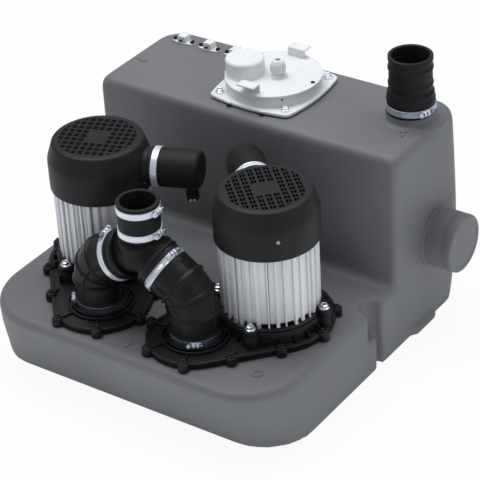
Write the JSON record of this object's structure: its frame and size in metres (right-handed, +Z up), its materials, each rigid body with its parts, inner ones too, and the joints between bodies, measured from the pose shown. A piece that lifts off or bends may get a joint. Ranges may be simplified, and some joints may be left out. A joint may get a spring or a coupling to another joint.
{
  "type": "grey water lifting station",
  "caption": "Grey water lifting station: a moulded tank with motor pumps on its low front deck, a forked discharge with non-return flaps, a top inlet, side spigots and an inspection cover.",
  "frame": {"origin": "on the floor, under the middle of the station's overall width and depth", "axes": "+X to the right seen from the pump side, +Y to the rear towards the high block, +Z up"},
  "size_m": [0.614, 0.547, 0.43],
  "materials": {
    "grey_polyethylene": "fine matt, rotationally moulded",
    "white_plastic": "smooth, softly glossy",
    "black_plastic": "satin moulded",
    "ribbed_black_plastic": "satin moulded",
    "black_rubber": "matt",
    "zinc_plated_steel": "bright",
    "black_steel": "black oxide",
    "stainless_steel": "turned",
    "cast_aluminium": "as cast",
    "wound_stator": "varnished sheet and copper",
    "rotor_iron": "ground",
    "impeller_plastic": "moulded"
  },
  "bodies": {
    "station": {"tank": "grey_polyethylene", "inspection_cover": "white_plastic", "cover_gasket": "black_rubber", "cover_screws": "zinc_plated_steel", "cover_clips": "white_plastic", "vent_cap": "white_plastic", "cover_gland": "white_plastic", "cover_plugs": "black_plastic", "pressure_switches": "white_plastic", "dip_tubes": "white_plastic", "cable_clamp_plates": "white_plastic", "cable_clamp_blocks": "white_plastic", "cable_clamp_screws": "black_plastic", "inlet_sleeve": "black_rubber", "inlet_clamp": "zinc_plated_steel", "y_piece": "black_plastic", "outlet_sleeve": "black_rubber", "sleeve_clamps": "zinc_plated_steel", "elbow_1": "ribbed_black_plastic", "elbow_2": "ribbed_black_plastic", "elbow_clamps": "zinc_plated_steel", "flap_pins": "zinc_plated_steel", "plate_gaskets": "black_rubber", "base_plate_1": "black_plastic", "base_plate_2": "black_plastic", "plate_screws": "black_steel", "pump_casing_1": "black_plastic", "pump_casing_2": "black_plastic", "casing_screws": "zinc_plated_steel", "bearing_bracket_1": "black_plastic", "bearing_bracket_2": "black_plastic", "motor_bolts": "zinc_plated_steel", "motor_body_1": "cast_aluminium", "motor_body_2": "cast_aluminium", "stator_1": "wound_stator", "stator_2": "wound_stator", "bearings": "zinc_plated_steel", "shaft_seals": "black_rubber", "fan_cover_1": "black_plastic", "fan_cover_2": "black_plastic", "fan_cover_screws": "zinc_plated_steel", "terminal_blocks": "white_plastic", "cable_boot_1": "black_rubber", "cable_boot_2": "black_rubber", "boot_clamps": "zinc_plated_steel", "boot_glands": "black_plastic"},
    "rotor_1": {"shaft_1": "stainless_steel", "rotor_core_1": "rotor_iron", "impeller_1": "impeller_plastic", "fan_1": "black_plastic"},
    "rotor_2": {"shaft_2": "stainless_steel", "rotor_core_2": "rotor_iron", "impeller_2": "impeller_plastic", "fan_2": "black_plastic"},
    "flap_1": {"flap_1": "black_plastic"},
    "flap_2": {"flap_2": "black_plastic"}
  },
  "joints": [
    {"name": "rotor_1_spin", "type": "hinge", "parent": "station", "child": "rotor_1", "pos_m": [-0.1467, -0.0845, 0.2], "axis": [0, 0, 1], "continuous": true},
    {"name": "rotor_2_spin", "type": "hinge", "parent": "station", "child": "rotor_2", "pos_m": [0.1467, -0.0845, 0.2], "axis": [0, 0, 1], "continuous": true},
    {"name": "flap_1_swing", "type": "hinge", "parent": "station", "child": "flap_1", "pos_m": [-0.10917, -0.18457, 0.15], "axis": [0, -1, 0], "range_deg": [0, 60]},
    {"name": "flap_2_swing", "type": "hinge", "parent": "station", "child": "flap_2", "pos_m": [0.10917, -0.18457, 0.15], "axis": [0, 1, 0], "range_deg": [0, 60]}
  ]
}
